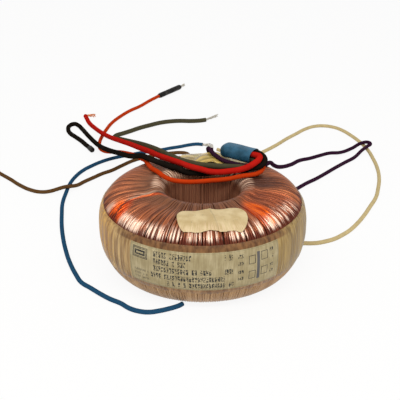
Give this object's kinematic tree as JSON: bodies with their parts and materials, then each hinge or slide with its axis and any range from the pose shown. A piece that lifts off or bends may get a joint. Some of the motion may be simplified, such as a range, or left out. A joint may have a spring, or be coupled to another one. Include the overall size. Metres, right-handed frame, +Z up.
{
  "type": "toroidal transformer",
  "caption": "Ring-shaped mains transformer with enamelled copper turns showing, a paper label on its side and flexible leads lying behind and around it.",
  "frame": {"origin": "on the axis of the ring at the level of the flat underside", "axes": "+Z up along the axis of the hole; -Y towards the side with the rating label, +X to its right"},
  "size_m": [0.2311, 0.3037, 0.0494],
  "materials": {
    "core_steel": "satin",
    "clear_tape": "glossy",
    "copper_wire": "glossy enamel",
    "band_tape": "glossy",
    "label_paper": "matte",
    "sticker_paper": "matte",
    "exit_tape": "glossy",
    "sleeve_blue": "glossy",
    "pvc_red": "satin",
    "pvc_black": "satin",
    "pvc_grey": "satin",
    "pvc_orange": "satin",
    "pvc_blue": "satin",
    "pvc_violet": "satin",
    "pvc_white": "satin",
    "pvc_brown": "satin",
    "bare_copper": "bare strands",
    "tinned_wire": "tinned",
    "shrink_black": "matte"
  },
  "bodies": {
    "root": {"core": "core_steel", "core_insulation": "clear_tape", "primary_winding_a": "copper_wire", "primary_winding_b": "copper_wire", "interwinding_insulation": "clear_tape", "secondary_winding_a": "copper_wire", "secondary_winding_b": "copper_wire", "side_band": "band_tape", "rating_label": "label_paper", "top_sticker": "sticker_paper", "lead_exit_tape": "exit_tape", "lead_sleeve": "sleeve_blue", "lead_red": "pvc_red", "lead_black": "pvc_black", "lead_grey": "pvc_grey", "lead_orange": "pvc_orange", "lead_blue": "pvc_blue", "lead_violet": "pvc_violet", "lead_white": "pvc_white", "lead_brown": "pvc_brown", "red_tip": "bare_copper", "grey_tip": "tinned_wire", "black_end_cap": "shrink_black", "orange_end_sleeve": "shrink_black", "orange_tip": "tinned_wire", "blue_tip": "tinned_wire", "brown_tip": "tinned_wire", "series_splice": "tinned_wire"}
  },
  "joints": []
}
